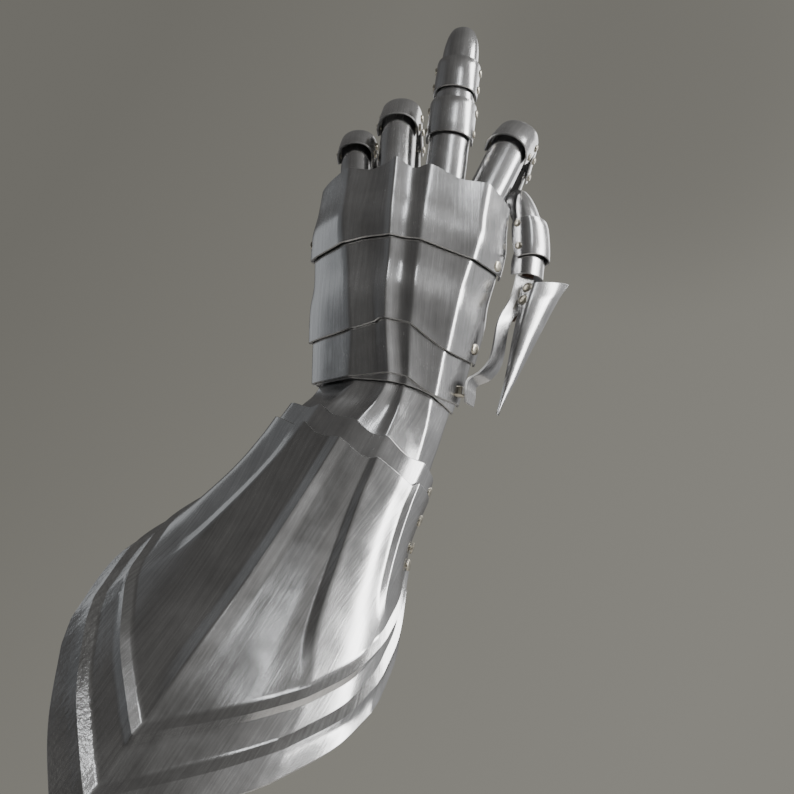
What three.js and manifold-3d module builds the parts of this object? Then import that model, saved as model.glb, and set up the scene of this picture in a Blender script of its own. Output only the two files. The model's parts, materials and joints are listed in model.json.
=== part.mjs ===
// Articulated armour for a left hand and forearm, in millimetres.
// +Z runs along the hand to the fingertips, +X is the thumb side and -Y is the back of the hand.
// The origin is the middle of the wrist, where the hand enters.
import * as THREE from "three";
import { mergeVertices } from "three/addons/utils/BufferGeometryUtils.js";
import Module from "manifold-3d";

const wasm = await Module();
wasm.setup();

// Driving dimensions.
const PLATE = 1.2; // hand and cuff plates
const FINGER_PLATE = 1.0;
const LEATHER = 1.6;
const NEST = 2.0; // from one plate's outside to the next one's outside
const SHANK = 1.1; // radii of the rivets
const HOLE = 1.5;
const HEAD = 2.8;
const TAIL = 1.6;
const HEAD_GAP = 0.25;
const TAIL_GAP = 0.85;
const FINGER_SHANK = 0.9;
const FINGER_HOLE = 1.25;
const FINGER_HEAD = 2.0;

const group = new THREE.Group();
const V = (x, y, z) => new THREE.Vector3(x, y, z);
const radians = THREE.MathUtils.degToRad;
const clamp = THREE.MathUtils.clamp;

// Reads a table with rows [place, value, value, ...] smoothly between its rows.
function track(table, place) {
  const t = clamp(place, table[0][0], table[table.length - 1][0]);
  let i = 0;
  while (i < table.length - 2 && t > table[i + 1][0]) i += 1;
  const slope = (k, c) => {
    const a = table[Math.max(k - 1, 0)];
    const b = table[Math.min(k + 1, table.length - 1)];
    return (b[c] - a[c]) / (b[0] - a[0]);
  };
  const [p, q] = [table[i], table[i + 1]];
  const span = q[0] - p[0];
  const s = (t - p[0]) / span;
  return p.slice(1).map((v, n) => {
    const c = n + 1;
    const rise = s * s * (3 - 2 * s);
    const out = s * (1 - s) * (1 - s) * span * slope(i, c);
    const into = s * s * (s - 1) * span * slope(i + 1, c);
    return v + (q[c] - v) * rise + out + into;
  });
}

// Turns a grid of outside points into one closed sheet. Rows run up, columns run to the right.
function sheet(rows, thickness) {
  const last = rows.length - 1;
  const end = rows[0].length - 1;
  const inner = rows.map((row, r) =>
    row.map((point, c) => {
      const across = rows[r][Math.min(c + 1, end)].clone().sub(rows[r][Math.max(c - 1, 0)]);
      const up = rows[Math.min(r + 1, last)][c].clone().sub(rows[Math.max(r - 1, 0)][c]);
      return point.clone().addScaledVector(across.cross(up).normalize(), -thickness);
    }),
  );
  const positions = [...rows.flat(), ...inner.flat()].flatMap((p) => p.toArray());
  const wide = end + 1;
  const below = rows.length * wide;
  const at = (r, c) => r * wide + c;
  const index = [];
  const quad = (a, b, c, d) => index.push(a, b, c, a, c, d);
  for (let r = 0; r < last; r += 1)
    for (let c = 0; c < end; c += 1) {
      quad(at(r, c), at(r, c + 1), at(r + 1, c + 1), at(r + 1, c));
      quad(below + at(r, c), below + at(r + 1, c), below + at(r + 1, c + 1), below + at(r, c + 1));
    }
  const rim = (a, b) => quad(b, a, below + a, below + b);
  for (let c = 0; c < end; c += 1) {
    rim(at(0, c), at(0, c + 1));
    rim(at(last, c + 1), at(last, c));
  }
  for (let r = 0; r < last; r += 1) {
    rim(at(r, end), at(r + 1, end));
    rim(at(r + 1, 0), at(r, 0));
  }
  const geometry = new THREE.BufferGeometry();
  geometry.setAttribute("position", new THREE.Float32BufferAttribute(positions, 3));
  geometry.setIndex(index);
  return geometry;
}

function solidOf(geometry) {
  const bare = new THREE.BufferGeometry();
  bare.setAttribute("position", geometry.getAttribute("position"));
  bare.setIndex(geometry.getIndex());
  const merged = mergeVertices(bare, 1e-4);
  return new wasm.Manifold(
    new wasm.Mesh({
      numProp: 3,
      vertProperties: new Float32Array(merged.attributes.position.array),
      triVerts: new Uint32Array(merged.index.array),
    }),
  );
}

function geometryOf(solid) {
  const mesh = solid.getMesh();
  const geometry = new THREE.BufferGeometry();
  geometry.setAttribute("position", new THREE.Float32BufferAttribute(mesh.vertProperties, 3));
  geometry.setIndex(Array.from(mesh.triVerts));
  return geometry;
}

const cut = (geometry, tools) =>
  geometryOf(tools.reduce((solid, tool) => solid.subtract(solidOf(tool)), solidOf(geometry)));
const join = (geometries) =>
  geometryOf(geometries.slice(1).reduce((solid, g) => solid.add(solidOf(g)), solidOf(geometries[0])));

// Lays a shape made along +Y at a point, with its +Y turned to the given direction.
function laid(geometry, point, direction) {
  const turn = new THREE.Quaternion().setFromUnitVectors(V(0, 1, 0), direction.clone().normalize());
  return geometry.applyQuaternion(turn).translate(point.x, point.y, point.z);
}

const plates = new Map();

// Every place where a line meets some plates, in order along the line.
function meetings(names, from, direction) {
  const ray = new THREE.Raycaster(from, direction.clone().normalize());
  const meshes = names.map((name) => {
    const mesh = new THREE.Mesh(plates.get(name), new THREE.MeshBasicMaterial({ side: THREE.DoubleSide }));
    mesh.updateMatrixWorld(true);
    return mesh;
  });
  return ray.intersectObjects(meshes).filter((hit) => hit.distance < 40);
}

const pins = {};

// Drills plates where a line meets them and sets one rivet through the holes.
function rivet(name, names, aim, outward, lift = HEAD_GAP) {
  const out = outward.clone().normalize();
  const first = meetings(names, aim.clone().addScaledVector(out, 15), out.clone().negate())[0];
  const normal = first.face.normal.clone();
  if (normal.dot(out) < 0) normal.negate();
  const hits = meetings(names, first.point.clone().addScaledVector(normal, 6), normal.clone().negate());
  const deep = hits[hits.length - 1].distance - 6 + TAIL_GAP;
  for (const plate of names) {
    const drill = new THREE.CylinderGeometry(HOLE, HOLE, deep + 8, 7);
    const middle = first.point.clone().addScaledVector(normal, -deep / 2);
    plates.set(plate, cut(plates.get(plate), [laid(drill, middle, normal)]));
  }
  const profile = [
    [0, -deep - 0.7],
    [TAIL, -deep],
    [SHANK, -deep],
    [SHANK, lift],
    [HEAD, lift],
    [HEAD * 0.62, lift + 1.0],
    [0, lift + 1.15],
  ].map(([r, y]) => new THREE.Vector2(r, y));
  plates.set(name, laid(new THREE.LatheGeometry(profile, 6), first.point, normal));
  pins[name] = { point: first.point.toArray(), normal: normal.toArray() };
}

// The skin of the hand: half widths, the crown's height and the palm's depth along the hand.
const HAND = [
  [-40, 34, 34, 22, 14],
  [0, 37, 37, 24, 14],
  [14, 39.5, 39.5, 26, 14],
  [36, 42, 42, 28, 14],
  [79, 48.5, 48.5, 30, 16],
  [128, 50, 50, 27, 16],
];
const ROUND = 0.85;
// Flute lines over the back of the hand: share of the half width at four places, then relief.
const FLUTE_PLACES = [14, 36, 79, 118];
const FLUTES = [
  { name: "little", share: [-0.42, -0.44, -0.6, -0.67], relief: [0.6, 1.1] },
  { name: "dip 1", share: [-0.11, -0.17, -0.38, -0.43], relief: [-0.6, -1.2] },
  { name: "ring flank", share: [0.02, -0.1, -0.17, -0.24], relief: [0.2, 0.2] },
  { name: "ring", share: [0.09, -0.03, -0.1, -0.17], relief: [1.0, 1.8] },
  { name: "dip 2", share: [0.25, 0.12, 0.055, 0.01], relief: [-0.5, -1.1] },
  { name: "middle", share: [0.34, 0.25, 0.195, 0.175], relief: [0.4, 0.9] },
  { name: "dip 3", share: [0.53, 0.48, 0.5, 0.5], relief: [-0.3, -1.2] },
  { name: "first", share: [0.72, 0.69, 0.74, 0.76], relief: [0.9, 1.6] },
];
const HAND_LEFT = [-108, -86];
const HAND_RIGHT = [84, 98];

const angleOfShare = (share) =>
  (Math.sign(share) * Math.asin(Math.abs(share) ** (1 / ROUND)) * 180) / Math.PI;

// Angle and relief of every column line at one place along the hand.
function handColumns(z) {
  const fade = clamp((z - 14) / 104, 0, 1);
  const flutes = FLUTES.map(({ share, relief }) => {
    const rows = FLUTE_PLACES.map((place, i) => [place, share[i]]);
    return [angleOfShare(track(rows, z)[0]), relief[0] + (relief[1] - relief[0]) * fade];
  });
  return [
    ...HAND_LEFT.map((angle) => [angle, 0]),
    ...flutes,
    ...HAND_RIGHT.map((angle) => [angle, 0]),
  ];
}

// One point of an arched section: the crown is at angle 0 and faces -Y.
function arch(left, right, crown, palm, power, angle) {
  const [s, c] = [Math.sin(radians(angle)), Math.cos(radians(angle))];
  const wide = s < 0 ? left : right;
  const x = Math.sign(s) * wide * Math.abs(s) ** power;
  return [x, c > 0 ? -crown * c ** power : -palm * c];
}

function handPoint(column, z, offset) {
  const [angle, relief] = handColumns(z)[column];
  const [left, right, crown, palm] = track(HAND, z);
  const out = offset + relief;
  const [x, y] = arch(left + out, right + out, crown + out, palm, ROUND, angle);
  return V(x, y, z);
}

const HEM_SPREAD = 44; // the angle from the crown at which a hem has fallen all the way

// The height of a hem: its crown, then how far it falls at the left and at the right.
function hemHeight([crown, left, right], angle) {
  const share = clamp(Math.abs(angle) / HEM_SPREAD, 0, 1);
  return crown - (angle < 0 ? left : right) * share * share * (3 - 2 * share);
}

// A lame of the hand: its lower and upper edges by column, and how far it stands off the skin.
function handLame(spec) {
  const columns = handColumns(60).length;
  const rows = spec.rows.map((row) =>
    Array.from({ length: columns }, (_, c) => {
      const angle = handColumns(60)[c][0];
      const arched = Math.max(Math.cos(radians(angle)), 0);
      const low = spec.hem ? hemHeight(spec.hem, angle) : spec.lows[c];
      const high = spec.high ? spec.high[0] + spec.high[1] * arched : spec.highs[c];
      const z = low + (high - low) * row[0];
      return handPoint(c, z, row[1]);
    }),
  );
  return sheet(rows, PLATE);
}

// Rows are [share of the way up, distance off the skin].
plates.set(
  "hand_lame_1",
  handLame({ hem: [10, 5, 7], high: [41, 8], rows: [[0, 0], [0.7, -0.2], [1, -2.2]] }),
);
plates.set(
  "hand_lame_2",
  handLame({
    hem: [35.5, 9.5, 11],
    high: [84, 8],
    rows: [[0, NEST], [0.3, NEST], [0.52, 0], [0.84, -0.4], [1, -2.2]],
  }),
);
const KNUCKLE_EDGE = [107, 109.5, 114, 113.5, 117.5, 119.7, 115.5, 117.7, 113, 113, 109, 105];
plates.set(
  "knuckle_plate",
  handLame({
    hem: [77, 7, 5.5],
    highs: KNUCKLE_EDGE,
    rows: [[0, NEST], [0.34, NEST], [0.66, 0.5], [1, 0.2]],
  }),
);
const STRIP_EDGE = [4.5, 4.5, 6, 6.5, 6.5, 6.5, 6.5, 6, 5, 3, -1, -1];
plates.set(
  "wrist_strip",
  handLame({ lows: STRIP_EDGE, high: [17, 6], rows: [[0, -NEST], [0.6, -NEST], [1, -NEST - 1.2]] }),
);

// The cuff's own frame: its axis leans away from the hand's axis.
const CUFF_LEAN = 19.5;
const CUFF_BEND = -7.1;
const CUFF_TWIST = -6.4;
const CUFF_AT = V(0.5, -0.4, 2);
const about = (axis, degrees) => new THREE.Quaternion().setFromAxisAngle(axis, radians(degrees));
const cuffTurn = (share) =>
  about(V(0, 1, 0), CUFF_LEAN * share)
    .multiply(about(V(1, 0, 0), CUFF_BEND * share))
    .multiply(about(V(0, 0, 1), CUFF_TWIST * share));
const CUFF_TURN = cuffTurn(1);
const fromCuff = (point) => point.clone().applyQuaternion(CUFF_TURN).add(CUFF_AT);

const CUFF = [
  [-230, 91, 67],
  [-180, 84, 56],
  [-140, 75, 44.5],
  [-100, 60, 34],
  [-60, 47.5, 29],
  [-34, 44.5, 28.6],
  [-14, 43, 28],
];
const CUFF_ROUND = 0.95;
const CUFF_PALM = 0.85;
const CUFF_TOP = -34;
const CUFF_SIDE_END = 98;
const CUFF_TIP = 224;
// Column lines of the cuff: angle at the wrist, angle at the far end, relief, edge scallop.
const CUFF_COLUMNS = [
  [-106, -106, 0, -3],
  [-88, -90, 0, 0],
  [-60, -70, 0.2, -1.5],
  [-34, -46, -1.0, -3],
  [-26, -38, 1.6, 0],
  [-14, -20, -0.6, -2.5],
  [-5.5, -4, -0.4, -1.5],
  [0, 0, 3.0, 0],
  [5, 6, 0.4, -1],
  [15, 22, -0.6, -2.8],
  [21, 34, -1.2, -2.2],
  [25, 38, 1.5, 0],
  [44, 54, 0.3, -2],
  [57, 68, -0.4, -3],
  [62, 73, 1.4, 0],
  [80, 88, 0, -1],
  [106, 106, 0, -2],
];
const CUFF_EDGE_CURVE = 0.92;

// How far down the cuff one of its rim lines runs, by angle from the middle of the back.
function rimLine(tip, side, angle) {
  const share = clamp(Math.abs(angle) / 95, 0, 1.12) ** CUFF_EDGE_CURVE;
  return -(tip + (side - tip) * share);
}

function cuffPoint(angle, z, offset) {
  const [wide, crown] = track(CUFF, z);
  const out = offset;
  const [x, y] = arch(wide + out, wide + out, crown + out, CUFF_PALM * crown + out, CUFF_ROUND, angle);
  return fromCuff(V(x + 0.0075 * (z + 20), y, z));
}

// Rim lines from the inner step to the outer edge: tip length, side length, height off the skin.
const CUFF_RIMS = [
  [176, 76, 0.4],
  [181, 79.5, 2.4],
  [186, 82.5, 0.9],
  [201, 87.5, 0.9],
  [207, 90.5, 3.4],
  [214, 93.5, 3.0],
  [CUFF_TIP, CUFF_SIDE_END, 3.6],
];
const CUFF_BODY = [0, 0.2, 0.5, 0.8];
const cuffAngle = ([near, far], z) => near + (far - near) * clamp((-z + CUFF_TOP) / 140, 0, 1);

function cuffColumn(column) {
  const [near, far, relief, scallop] = column;
  const low = rimLine(CUFF_RIMS[0][0], CUFF_RIMS[0][1], far);
  const top = CUFF_TOP + scallop;
  const body = CUFF_BODY.map((share) => {
    const z = top + (low - top) * share;
    const swell = 0.55 + 0.45 * Math.sin(Math.PI * clamp(share * 1.1, 0, 1));
    return cuffPoint(cuffAngle([near, far], z), z, relief * swell);
  });
  const rims = CUFF_RIMS.map(([tip, side, high]) => {
    const z = rimLine(tip, side, far);
    return cuffPoint(far, z, high);
  });
  return [...body, ...rims].reverse();
}

// Turns a list of columns, each a list of points from low to high, into a sheet.
const fromColumns = (columns, thickness) =>
  sheet(
    columns[0].map((_, r) => columns.map((column) => column[r])),
    thickness,
  );

plates.set("cuff", fromColumns(CUFF_COLUMNS.map(cuffColumn), PLATE));

// The plate that closes the cuff under the forearm, inside the side panels.
const UNDER_ANGLES = [94, 112, 132, 156, 180, 204, 228, 248, 266];
const UNDER_ENDS = [-60, -70, -80, -89];
plates.set(
  "cuff_under_plate",
  fromColumns(
    UNDER_ANGLES.map((angle) => UNDER_ENDS.map((z) => cuffPoint(angle, z, -NEST - 0.4)).reverse()),
    PLATE,
  ),
);

// The collar between the cuff and the wrist lame, with the same flute lines.
const COLLAR_COLUMNS = [
  [-100, 0, -5],
  [-86, 0, 0],
  [-60, 0, -1.5],
  [-34, -0.8, -3],
  [-26, 1.0, 0],
  [-14, -1.0, -2.6],
  [0, -0.3, 0],
  [15, -1.2, -2.8],
  [25, 0.1, 0],
  [44, -0.3, -2.8],
  [62, 1.0, 0],
  [84, 0, -1],
  [100, 0, -3],
];
const COLLAR_TOP = -22;
plates.set(
  "wrist_collar",
  fromColumns(
    COLLAR_COLUMNS.map(([near, relief, scallop]) => {
      const arched = Math.max(Math.cos(radians(near)), 0);
      const top = COLLAR_TOP - 4 * (1 - arched) + scallop;
      return [
        [-54 - 6 * arched, -1.8 * arched - 0.6],
        [-45, 0],
        [top, 0],
      ].map(([z, out]) => cuffPoint(near, z, out - NEST + relief * 0.5));
    }),
    PLATE,
  ),
);

// The wrist lame bends from the cuff's axis to the hand's axis.
// Columns: angle at the cuff, angle at the hand, relief.
const WRIST_COLUMNS = [
  [-98, -100, 0],
  [-86, -86, 0],
  [-28, -21.1, 1.0],
  [-14, -4.3, -0.6],
  [-5, 0.6, 0.2],
  [0, 3.4, 1.4],
  [14, 11.3, -0.6],
  [25, 16.3, 0.9],
  [44, 28.3, -0.4],
  [62, 42.8, 1.0],
  [88, 84, 0],
  [100, 98, 0],
];
// Rows from the cuff end to the hand end: share of the turn, height along, half width, crown, palm.
const WRIST_ROWS = [
  [0, -46, 36.5, 20, 17],
  [0.05, -31, 38.4, 23.8, 18],
  [0.25, -19, 36.6, 22.6, 17],
  [0.6, -7, 34.4, 20.6, 16],
  [0.9, 4, 33.6, 20.2, 15],
  [1, 20, 33.8, 18.6, 14],
];
function wristPoint([near, far, relief], [share, along, wide, crown, palm]) {
  const angle = near + (far - near) * share;
  const out = relief * (0.6 + 0.4 * Math.sin(Math.PI * share));
  const [x, y] = arch(wide + out, wide + out, crown + out, palm, 0.9, angle);
  const turn = cuffTurn(1 - share);
  const side = Math.max(Math.cos(radians(angle)), 0);
  const ends = along < -44 ? 5 * (1 - side) : along > 19 ? -3 * (1 - side) : 0;
  const at = CUFF_AT.clone().multiplyScalar(1 - share);
  // Below the bend the section rides on the cuff's axis, above it on the hand's.
  const down = Math.min(along, 0);
  const up = Math.max(along, 0);
  const axis = V(0, 0, down + (along < 0 ? ends : 0)).applyQuaternion(CUFF_TURN);
  return V(x, y, 0).applyQuaternion(turn).add(axis).add(at).add(V(0, 0, up + (along > 0 ? ends : 0)));
}
plates.set(
  "wrist_lame",
  fromColumns(
    WRIST_COLUMNS.map((column) => WRIST_ROWS.map((row) => wristPoint(column, row))),
    PLATE,
  ),
);

// Finger sections: corners of the arch as shares of the half width and of the crown's height.
const FINGER_SECTION = [
  [-1, "hem"],
  [-1, -0.2],
  [-0.78, -0.7],
  [-0.3, -0.97],
  [0.3, -0.97],
  [0.78, -0.7],
  [1, -0.2],
  [1, "hem"],
];

// A finger's own frame: a point reached by going along, toward the palm and sideways.
function fingerFrame({ at, lean, roll = 0 }) {
  const along = V(Math.sin(radians(lean)), 0, Math.cos(radians(lean)));
  const side = V(Math.cos(radians(lean)), 0, -Math.sin(radians(lean)));
  const palm = V(0, 1, 0);
  if (roll) {
    side.applyAxisAngle(along, radians(roll));
    palm.applyAxisAngle(along, radians(roll));
  }
  const base = V(...at);
  return {
    side,
    place: (x, y, s) =>
      base.clone().addScaledVector(side, x).addScaledVector(palm, y).addScaledVector(along, s),
  };
}

// Rows are [distance along from the start pivot, width scale, crown scale, hem depth].
function fingerPlate(frame, start, bend, wide, crown, rows) {
  const [c, s] = [Math.cos(radians(bend)), Math.sin(radians(bend))];
  const grid = rows.map(([far, wideScale, crownScale, hem, slant = 0]) =>
    FINGER_SECTION.map(([sx, sy]) => {
      const x = sx * wide * wideScale;
      const y = sy === "hem" ? hem : sy * crown * crownScale;
      const reach = far - slant * y;
      return frame.place(x, start[1] + reach * s + y * c, start[0] + reach * c - y * s);
    }),
  );
  return sheet(grid, FINGER_PLATE);
}

const CAP_GAP = 0.85; // between a finger plate and the cap over it
const CAP_SWELL = 0.08; // how much higher the middle of a cap is than its ends
const CAP_BACK = 5.6;
const CAP_FRONT = 2.9;
const EAR = 3.3;

// Pins fixed in a cap at both of its pivots, and the matching holes in the plates inside.
function capPins(frame, pivot, wide) {
  const outside = wide + CAP_GAP + FINGER_PLATE;
  return [-1, 1].map((sign) => {
    const direction = frame.side.clone().multiplyScalar(sign);
    const middle = frame.place(0, pivot[1], pivot[0]);
    const profile = [
      [0, wide - FINGER_PLATE - 0.7],
      [FINGER_SHANK, wide - FINGER_PLATE - 0.7],
      [FINGER_SHANK, outside - 0.3],
      [FINGER_HEAD, outside - 0.3],
      [FINGER_HEAD * 0.66, outside + 1.1],
      [0, outside + 1.1],
    ].map(([r, y]) => new THREE.Vector2(r, y));
    return laid(new THREE.LatheGeometry(profile, 5), middle, direction);
  });
}

function pinHoles(frame, pivot, wide) {
  return [-1, 1].map((sign) => {
    const middle = frame.place(sign * wide, pivot[1], pivot[0]);
    return laid(new THREE.CylinderGeometry(FINGER_HOLE, FINGER_HOLE, 6, 6), middle, frame.side);
  });
}

export const hinges = {};

// A whole finger: proximal plate, cap, middle plate, cap and tip, bent by the listed angles.
function finger(name, spec) {
  const frame = fingerFrame(spec);
  const { wide, crown, bends, lengths } = spec;
  const points = [[0, 0]];
  const headings = [];
  let heading = 0;
  lengths.forEach((length, i) => {
    heading += bends[i];
    headings.push(heading);
    const [s, y] = points[i];
    points.push([s + length * Math.cos(radians(heading)), y + length * Math.sin(radians(heading))]);
  });
  const taper = spec.taper ?? 0.94;
  const narrow = wide * taper;
  const low = crown * taper;
  const reach = 2.3;
  const rootRows = [
    [spec.start ?? 0, 1, 1, 4.4],
    [lengths[0] - 7, 1, 1, 4.8],
    [lengths[0] + reach, 1, 0.985, EAR - 1.2],
  ];
  const rootPlate = fingerPlate(frame, points[0], headings[0], wide, crown, rootRows);
  plates.set(`${name}_proximal`, cut(rootPlate, pinHoles(frame, points[1], wide)));
  const capRows = (length, swell) => [
    [-CAP_BACK, 1, 1.0, 2.2],
    [1, 1, 1.0 + swell, EAR + 0.3],
    [length - 1, 1, 1.0 + swell, EAR + 0.3],
    [length + CAP_FRONT, 1, 1.0, 2.4],
  ];
  const cap = (label, k, w, h) => {
    const skin = CAP_GAP + FINGER_PLATE;
    const plate = fingerPlate(frame, points[k], headings[k], w + skin, h + skin, capRows(lengths[k], CAP_SWELL));
    const studs = [...capPins(frame, points[k], w), ...capPins(frame, points[k + 1], w)];
    plates.set(`${name}_${label}`, join([plate, ...studs]));
  };
  cap(spec.caps[0], 1, wide, crown);
  if (spec.caps.length > 1) {
    const rows = [
      [-reach, 1, 0.985, EAR - 1.2],
      [lengths[2] * 0.5, 1, 1, 4.2],
      [lengths[2] + reach, taper, taper * 0.985, EAR - 1.2],
    ];
    const plate = fingerPlate(frame, points[2], headings[2], wide, crown, rows);
    const holes = [...pinHoles(frame, points[2], wide), ...pinHoles(frame, points[3], narrow)];
    plates.set(`${name}_middle`, cut(plate, holes));
    cap(spec.caps[1], 3, narrow, low);
  }
  const from = spec.caps.length > 1 ? 4 : 2;
  const [w, h] = from === 4 ? [narrow, low] : [wide, crown];
  const tip = lengths[from];
  const rows = [
    [-reach, 1, 0.985, EAR - 1.2],
    [tip * 0.5, 0.95, 0.96, EAR + 0.4],
    [tip * 0.86, 0.7, 0.72, 2.6],
    [tip, 0.22, 0.3, 0.6],
  ];
  const plate = fingerPlate(frame, points[from], headings[from], w, h, rows);
  plates.set(`${name}_tip`, cut(plate, pinHoles(frame, points[from], w)));
  hinges[name] = points
    .slice(1, from + 1)
    .map(([s, y]) => ({ at: frame.place(0, y, s).toArray(), axis: frame.side.toArray() }));
}

const CAPS = ["knuckle_cap", "end_cap"];
finger("middle_finger", {
  at: [14.8, -11.2, 113],
  lean: -1.5,
  wide: 10.3,
  crown: 9.2,
  caps: CAPS,
  lengths: [33.5, 12.8, 15.4, 11, 30],
  bends: [5, 1, 1, 1, 1],
});
finger("ring_finger", {
  at: [-10.6, -11.4, 113],
  lean: -6,
  wide: 9.2,
  crown: 8.6,
  caps: CAPS,
  lengths: [38, 13.6, 14.5, 10.5, 26],
  bends: [12, 28, 50, 36, 18],
});
finger("little_finger", {
  at: [-30.4, -8.2, 104],
  lean: -10,
  wide: 8.0,
  crown: 7.4,
  caps: CAPS,
  lengths: [31, 12.4, 11.5, 9.5, 22],
  bends: [15, 28, 48, 36, 18],
});
finger("first_finger", {
  at: [35, -5, 110],
  lean: 15.5,
  start: 4,
  wide: 9.8,
  crown: 8.8,
  caps: CAPS,
  lengths: [38, 13.6, 14.5, 10.5, 26],
  bends: [12, 28, 50, 36, 18],
});
finger("thumb", {
  at: [63, 10.5, 78],
  lean: -3,
  start: -0.5,
  roll: 55,
  wide: 8.6,
  crown: 7.6,
  caps: ["cap"],
  lengths: [14, 13, 26],
  bends: [-2, 10, 14],
  taper: 1,
});

// The leather that carries the finger plates, with a tongue under each of them.
const BAND_COLUMNS = [2, 3, 4, 5, 6, 7, 8, 9];
const bandRow = (z, offset) => BAND_COLUMNS.map((c) => handPoint(c, z, offset));
const band = sheet([bandRow(102.5, -2.9), bandRow(107.5, -2.6), bandRow(112, -2.5)], LEATHER);
const TONGUES = [
  { at: [-30.4, -8.2, 104], lean: -10, crown: 7.6, bend: 15, column: 2, sink: 1.1 },
  { at: [-10.6, -11.4, 113], lean: -6, crown: 8.6, bend: 12, column: 4, sink: 0 },
  { at: [14.8, -11.2, 113], lean: -1.5, crown: 9.2, bend: 5, column: 7, sink: 0 },
  { at: [35, -5, 110], lean: 15.5, crown: 8.8, bend: 12, column: 9, sink: 0 },
];
const tongues = TONGUES.map(({ at, lean, crown, bend, column, sink }) => {
  const frame = fingerFrame({ at, lean });
  const inside = -(crown * 0.97 - FINGER_PLATE - 0.6);
  const fall = Math.tan(radians(bend));
  const root = handPoint(column, 107, -3.7 - sink).y - at[1];
  const start = 105.5 - at[2];
  const rows = [
    [start, root],
    [Math.min(start + 4, -2.5), root + 0.3],
    [Math.min(start + 8, 0.5), inside + 0.4],
    [14, inside + 14 * fall],
  ];
  return sheet(
    rows.map(([s, y]) => [-3.4, 3.4].map((x) => frame.place(x, y, s))),
    LEATHER,
  );
});
plates.set("finger_leather", join([band, ...tongues]));

// Thumb side: a strap from the wrist rivet up to a pointed wing plate.
// Rows are [left edge, right edge] from the wrist up.
const STRAP = [
  [[41.56, -9.6, 3.6], [44.92, -1.2, 3.4]],
  [[40.84, -11.4, 9.0], [45.16, -0.6, 8.6]],
  [[41.24, -10.4, 14.4], [45.08, -0.8, 13.6]],
  [[46.6, -8.6, 20.0], [51.6, 0.4, 18.6]],
  [[50.4, -7.0, 28.0], [56.0, 0.6, 27.0]],
  [[51.8, -5.6, 48.0], [57.6, -0.6, 48.0]],
  [[56.5, 1.6, 64.0], [64.5, 5.2, 64.0]],
  [[57.8, 3.4, 76.5], [66.8, 8.0, 76.5]],
];
plates.set("thumb_strap", sheet(STRAP.map((row) => row.map((p) => V(...p))), PLATE));

// Rows are [left edge, fold, middle, right edge] from the low point up.
const WING = [
  [[56.4, -3.4, 1.0], [57.0, -4.2, 0.4], [57.5, -4.0, 1.4], [57.9, -3.4, 2.4]],
  [[58.2, -2.2, 20.0], [60.0, -4.6, 20.0], [63.4, -3.2, 21.4], [65.2, -0.9, 23.0]],
  [[59.4, -1.0, 40.0], [62.6, -4.2, 40.0], [69.2, -1.8, 43.6], [73.8, 3.4, 48.0]],
  [[60.8, 1.0, 60.0], [65.4, -2.6, 60.0], [75.6, 2.0, 64.4], [80.8, 8.8, 68.0]],
  [[62.4, 3.0, 72.0], [67.8, -0.2, 72.0], [77.6, 4.6, 74.6], [85.0, 13.6, 77.6]],
];
plates.set("thumb_wing", sheet(WING.map((row) => row.map((p) => V(...p))), PLATE));

// The leather behind the strap, which carries the thumb's first plate.
const THUMB_LEATHER = [
  [[53.4, 1.4, 52.0], [59.4, 4.0, 52.0]],
  [[56.6, 4.6, 64.0], [63.8, 8.0, 64.0]],
  [[59.4, 7.2, 74.6], [65.6, 10.4, 74.6]],
  [[62.6, 5.2, 80.0], [66.4, 10.0, 80.0]],
  [[63.4, 3.6, 89.0], [66.8, 8.4, 89.0]],
];
plates.set("thumb_leather", sheet(THUMB_LEATHER.map((row) => row.map((p) => V(...p))), LEATHER));

// Rivets of the hand. Each is aimed at a place and sits square on the plate it meets.
const LEFT = V(-1, 0.05, 0);
const RIGHT = V(0.84, -0.54, 0);
rivet("rivet_hand_1_left", ["hand_lame_1", "wrist_strip", "wrist_lame"], V(-36, 1.4, 14), LEFT);
rivet("rivet_hand_1_right", ["thumb_strap", "hand_lame_1", "wrist_strip", "wrist_lame"], V(36, -5, 9), RIGHT);
rivet("rivet_hand_2_left", ["hand_lame_2", "hand_lame_1"], V(-40, 0.5, 36), LEFT);
rivet("rivet_hand_2_right", ["hand_lame_2", "hand_lame_1"], V(40, -6, 31), RIGHT);
rivet("rivet_hand_3_left", ["knuckle_plate", "hand_lame_2"], V(-46, -1, 79), LEFT);
rivet("rivet_hand_3_right", ["knuckle_plate", "hand_lame_2"], V(45, -7, 75), RIGHT);

const THUMB_RIVETS = ["thumb_wing", "thumb_strap", "thumb_leather"];
rivet("rivet_thumb_1", THUMB_RIVETS, V(63.6, 0, 69), V(-0.3, -1, 0));
rivet("rivet_thumb_2", THUMB_RIVETS, V(62.4, 0, 62), V(-0.3, -1, 0));

const cuffDirection = (x, y, z) => V(x, y, z).applyQuaternion(CUFF_TURN);
const cuffRivet = (name, names, x, y, z, out, lift) =>
  rivet(name, names, fromCuff(V(x, y, z)), cuffDirection(...out), lift);
cuffRivet("rivet_wrist_left", ["wrist_collar", "wrist_lame"], -38, 1.5, -33, [-1, 0, 0]);
cuffRivet("rivet_wrist_right", ["wrist_collar", "wrist_lame"], 38, 1.5, -33, [1, 0, 0]);
cuffRivet("rivet_collar_left", ["cuff", "wrist_collar"], -42, 1.5, -47, [-1, 0, 0]);
cuffRivet("rivet_collar_right", ["cuff", "wrist_collar"], 42, 1.5, -47, [1, 0, 0]);
for (const [side, sign] of [["left", -1], ["right", 1]])
  [-60, -68].forEach((z, i) => {
    const both = ["cuff", "cuff_under_plate"];
    cuffRivet(`rivet_under_${side}_${i + 1}`, both, sign * 46, 3.3, z, [sign, 0.1, 0], 0.7);
  });

for (const [name, geometry] of plates) {
  const mesh = new THREE.Mesh(geometry, new THREE.MeshStandardMaterial({ color: 0x9a9a9a }));
  mesh.name = name;
  group.add(mesh);
}

export { pins };
export default group;
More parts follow.
